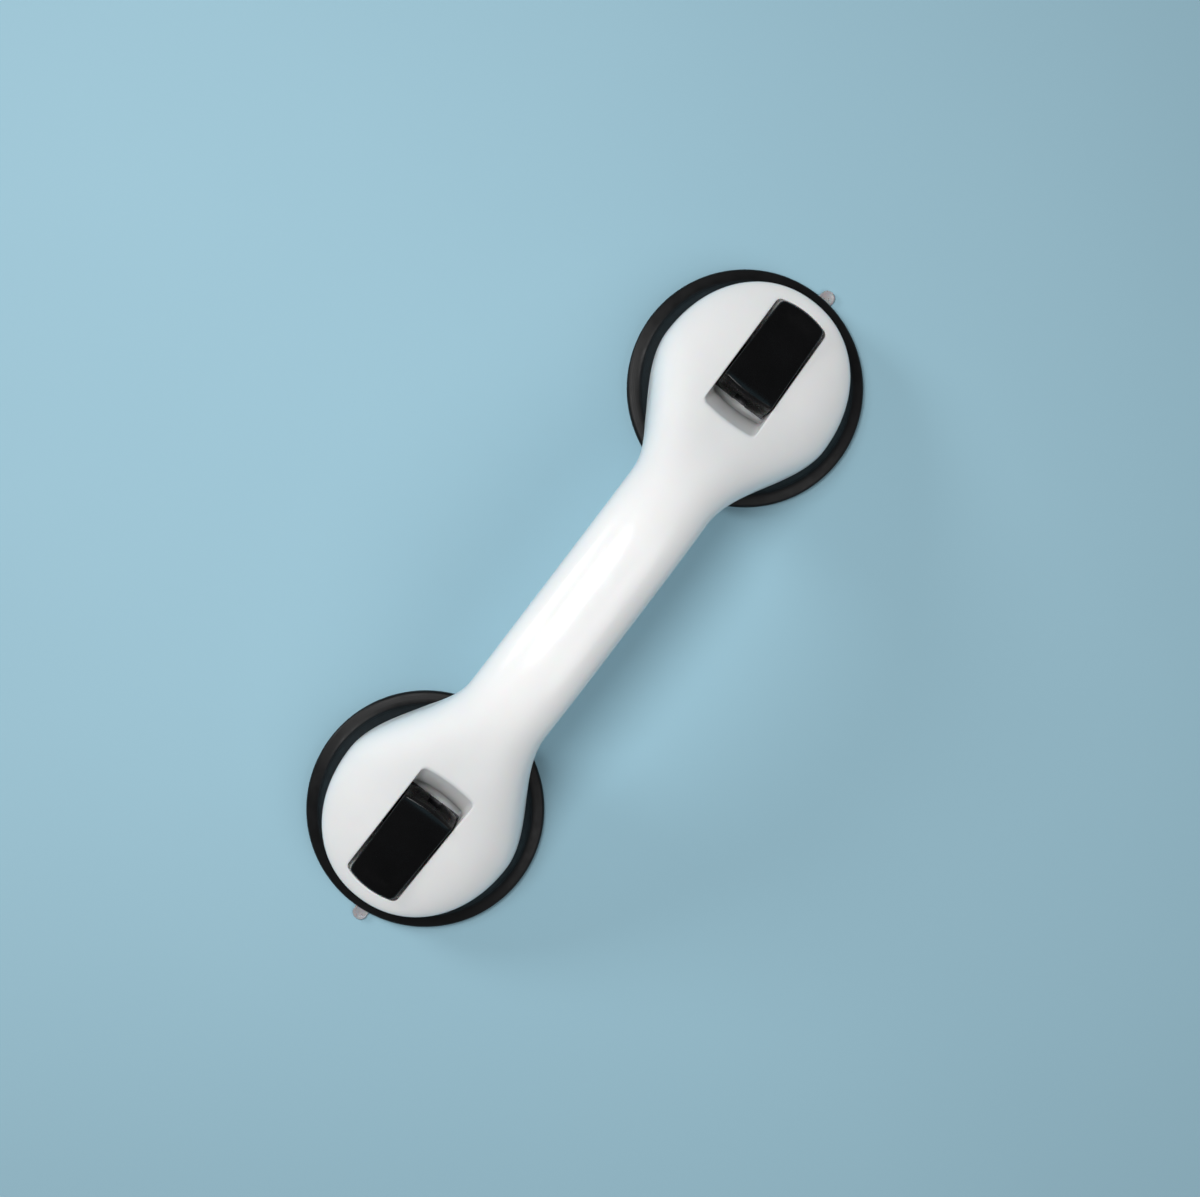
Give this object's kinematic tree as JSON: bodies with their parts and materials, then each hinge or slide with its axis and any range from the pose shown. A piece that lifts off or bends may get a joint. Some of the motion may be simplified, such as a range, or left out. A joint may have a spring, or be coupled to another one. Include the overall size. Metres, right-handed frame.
{
  "type": "suction grab bar",
  "caption": "White arched grab bar with wide paddle ends on round suction cups; a black lever in each paddle lifts its pad's middle so that the bar holds on a smooth wall.",
  "frame": {"origin": "on the wall that the cups stick to, midway between the cups", "axes": "+X along the bar towards the right cup, +Z away from the wall, +Y across the bar"},
  "size_m": [0.3126, 0.094, 0.075],
  "materials": {
    "shell": "gloss white ABS",
    "lever": "black ABS, semi-gloss",
    "dish": "black, satin",
    "pad": "soft, cloudy clear, smooth",
    "core": "natural nylon",
    "plate": "black-oxide stamped steel",
    "steel": "zinc-plated steel"
  },
  "bodies": {
    "handle": {"top_shell": "shell", "bottom_shell": "shell", "bar_screws": "steel", "bar_screw_caps": "shell", "left_cam_plate": "plate", "left_pad": "pad", "left_dish": "dish", "left_cup_screws": "steel", "right_cam_plate": "plate", "right_pad": "pad", "right_dish": "dish", "right_cup_screws": "steel"},
    "left_core": {"left_stud": "steel", "left_pad_core": "core"},
    "left_lever": {"left_lever": "lever", "left_lever_pin": "steel"},
    "right_core": {"right_stud": "steel", "right_pad_core": "core"},
    "right_lever": {"right_lever": "lever", "right_lever_pin": "steel"}
  },
  "joints": [
    {"name": "left_lift", "type": "slide", "parent": "handle", "child": "left_core", "axis": [0, 0, 1], "range_m": [-0.0036, 0], "deforming": ["left_pad"]},
    {"name": "left_lever_turn", "type": "hinge", "parent": "left_core", "child": "left_lever", "pos_m": [-0.1045, 0, 0.0341], "axis": [0, 1, 0], "range_deg": [0, 100]},
    {"name": "right_lift", "type": "slide", "parent": "handle", "child": "right_core", "axis": [0, 0, 1], "range_m": [-0.0036, 0], "deforming": ["right_pad"]},
    {"name": "right_lever_turn", "type": "hinge", "parent": "right_core", "child": "right_lever", "pos_m": [0.1045, 0, 0.0341], "axis": [0, -1, 0], "range_deg": [0, 100]}
  ],
  "couplings": [
    {"joint": "left_lift", "follows": "left_lever_turn", "m_per_rad": -0.002062},
    {"joint": "right_lift", "follows": "right_lever_turn", "m_per_rad": -0.002062}
  ]
}
